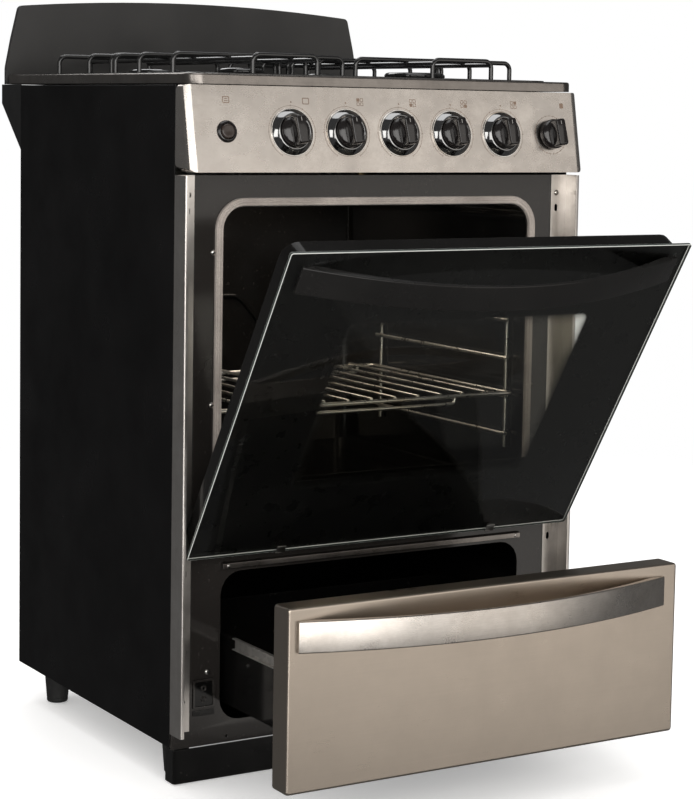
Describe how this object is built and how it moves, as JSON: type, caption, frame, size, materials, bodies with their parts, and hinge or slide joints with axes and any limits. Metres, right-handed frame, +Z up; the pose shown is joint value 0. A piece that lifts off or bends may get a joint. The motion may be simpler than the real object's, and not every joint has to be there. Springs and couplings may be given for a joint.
{
  "type": "freestanding gas range",
  "caption": "Freestanding gas range: burners under wire pan supports, leaning knob panel, drop-down glass oven door, rack and a pull-out storage drawer below.",
  "frame": {"origin": "centre of the resting part's footprint box, on the floor", "axes": "+X to the right seen from the front, +Y to the back, +Z up"},
  "size_m": [0.56, 0.821, 0.94],
  "materials": {
    "black_paint": "satin black powder coat with a fine even texture",
    "black_enamel": "glossy black vitreous enamel",
    "stainless": "horizontally brushed stainless steel, slightly warm, with smudges",
    "galvanised": "zinc coated sheet",
    "chrome_wire": "bright plated wire",
    "burner_aluminium": "cast, lightly oxidised",
    "brass": "plain machined",
    "knob_plastic": "glossy black moulding",
    "door_glass": "black printed glass, very glossy",
    "clear_glass": "clear glass",
    "seal_cord": "grey woven and rubber door seal",
    "foot_plastic": "black moulded foot"
  },
  "bodies": {
    "cabinet": {"side_panel_left": "black_paint", "side_trim_left": "stainless", "rack_guide_left": "chrome_wire", "hinge_bracket_left": "galvanised", "foot_front_left": "foot_plastic", "foot_rear_left": "foot_plastic", "side_panel_right": "black_paint", "side_trim_right": "stainless", "rack_guide_right": "chrome_wire", "hinge_bracket_right": "galvanised", "foot_front_right": "foot_plastic", "foot_rear_right": "foot_plastic", "back_panel": "galvanised", "base_pan": "galvanised", "oven_burner": "galvanised", "kick_plate": "black_enamel", "front_frame": "black_enamel", "hob_tray": "black_enamel", "oven_liner": "black_enamel", "oven_floor": "black_enamel", "rear_bracket": "black_paint", "backguard": "black_paint", "drawer_well": "black_paint", "control_panel": "stainless", "cooktop": "stainless", "drip_rail": "stainless", "gas_manifold": "brass", "oven_gasket": "seal_cord", "burner_head_front_left": "burner_aluminium", "burner_head_front_right": "burner_aluminium", "burner_head_rear_left": "burner_aluminium", "burner_head_rear_right": "burner_aluminium"},
    "oven_door": {"door_glass": "door_glass", "door_shell": "black_enamel", "door_inner_glass": "clear_glass", "door_handle": "black_paint"},
    "storage_drawer": {"drawer_front": "stainless", "drawer_tub": "black_paint", "drawer_runner_left": "galvanised", "drawer_runner_right": "galvanised", "drawer_handle": "stainless"},
    "oven_shelf": {"oven_rack": "chrome_wire"},
    "grate_left": {"pan_grate_left": "black_enamel"},
    "grate_right": {"pan_grate_right": "black_enamel"},
    "cap_front_left": {"burner_cap_front_left": "black_enamel"},
    "cap_front_right": {"burner_cap_front_right": "black_enamel"},
    "cap_rear_left": {"burner_cap_rear_left": "black_enamel"},
    "cap_rear_right": {"burner_cap_rear_right": "black_enamel"},
    "stem_1": {"knob_stem_1": "brass"},
    "gas_knob_1": {"knob_1": "knob_plastic"},
    "stem_2": {"knob_stem_2": "brass"},
    "gas_knob_2": {"knob_2": "knob_plastic"},
    "stem_3": {"knob_stem_3": "brass"},
    "gas_knob_3": {"knob_3": "knob_plastic"},
    "stem_4": {"knob_stem_4": "brass"},
    "gas_knob_4": {"knob_4": "knob_plastic"},
    "stem_5": {"knob_stem_5": "brass"},
    "gas_knob_5": {"knob_5": "knob_plastic"},
    "timer": {"timer_knob": "knob_plastic"},
    "igniter": {"ignition_button": "knob_plastic"}
  },
  "joints": [
    {"name": "door_hinge", "type": "hinge", "parent": "cabinet", "child": "oven_door", "pos_m": [0, -0.13545, 0.2953], "axis": [1, 0, 0], "range_deg": [-32.16, 57.84]},
    {"name": "drawer_slide", "type": "slide", "parent": "cabinet", "child": "storage_drawer", "axis": [0, -1, 0], "range_m": [-0.2162, 0.08]},
    {"name": "shelf_slide", "type": "slide", "parent": "cabinet", "child": "oven_shelf", "axis": [0, -1, 0], "range_m": [0, 0.1]},
    {"name": "grate_left_lift", "type": "slide", "parent": "cabinet", "child": "grate_left", "axis": [0, 0, 1], "range_m": [0, 0.06]},
    {"name": "grate_right_lift", "type": "slide", "parent": "cabinet", "child": "grate_right", "axis": [0, 0, 1], "range_m": [0, 0.06]},
    {"name": "cap_front_left_lift", "type": "slide", "parent": "cabinet", "child": "cap_front_left", "axis": [0, 0, 1], "range_m": [0, 0.04]},
    {"name": "cap_front_right_lift", "type": "slide", "parent": "cabinet", "child": "cap_front_right", "axis": [0, 0, 1], "range_m": [0, 0.04]},
    {"name": "cap_rear_left_lift", "type": "slide", "parent": "cabinet", "child": "cap_rear_left", "axis": [0, 0, 1], "range_m": [0, 0.04]},
    {"name": "cap_rear_right_lift", "type": "slide", "parent": "cabinet", "child": "cap_rear_right", "axis": [0, 0, 1], "range_m": [0, 0.04]},
    {"name": "stem_1_turn", "type": "hinge", "parent": "cabinet", "child": "stem_1", "pos_m": [-0.1421, -0.13879, 0.7688], "axis": [0, -0.9833, 0.1819], "range_deg": [0, 210]},
    {"name": "knob_1_push", "type": "slide", "parent": "stem_1", "child": "gas_knob_1", "axis": [0, 0.9833, -0.1819], "range_m": [0, 0.003], "stiffness_N_per_m": 900, "springref_m": -0.003},
    {"name": "stem_2_turn", "type": "hinge", "parent": "cabinet", "child": "stem_2", "pos_m": [-0.0674, -0.13879, 0.7688], "axis": [0, -0.9833, 0.1819], "range_deg": [0, 210]},
    {"name": "knob_2_push", "type": "slide", "parent": "stem_2", "child": "gas_knob_2", "axis": [0, 0.9833, -0.1819], "range_m": [0, 0.003], "stiffness_N_per_m": 900, "springref_m": -0.003},
    {"name": "stem_3_turn", "type": "hinge", "parent": "cabinet", "child": "stem_3", "pos_m": [0.0073, -0.13879, 0.7688], "axis": [0, -0.9833, 0.1819], "range_deg": [0, 210]},
    {"name": "knob_3_push", "type": "slide", "parent": "stem_3", "child": "gas_knob_3", "axis": [0, 0.9833, -0.1819], "range_m": [0, 0.003], "stiffness_N_per_m": 900, "springref_m": -0.003},
    {"name": "stem_4_turn", "type": "hinge", "parent": "cabinet", "child": "stem_4", "pos_m": [0.082, -0.13879, 0.7688], "axis": [0, -0.9833, 0.1819], "range_deg": [0, 210]},
    {"name": "knob_4_push", "type": "slide", "parent": "stem_4", "child": "gas_knob_4", "axis": [0, 0.9833, -0.1819], "range_m": [0, 0.003], "stiffness_N_per_m": 900, "springref_m": -0.003},
    {"name": "stem_5_turn", "type": "hinge", "parent": "cabinet", "child": "stem_5", "pos_m": [0.1567, -0.13879, 0.7688], "axis": [0, -0.9833, 0.1819], "range_deg": [0, 210]},
    {"name": "knob_5_push", "type": "slide", "parent": "stem_5", "child": "gas_knob_5", "axis": [0, 0.9833, -0.1819], "range_m": [0, 0.003], "stiffness_N_per_m": 900, "springref_m": -0.003},
    {"name": "timer_turn", "type": "hinge", "parent": "cabinet", "child": "timer", "pos_m": [0.2314, -0.13879, 0.7688], "axis": [0, -0.9833, 0.1819], "range_deg": [0, 300]},
    {"name": "igniter_push", "type": "slide", "parent": "cabinet", "child": "igniter", "axis": [0, 0.9833, -0.1819], "range_m": [0, 0.003], "stiffness_N_per_m": 700, "springref_m": -0.003}
  ]
}
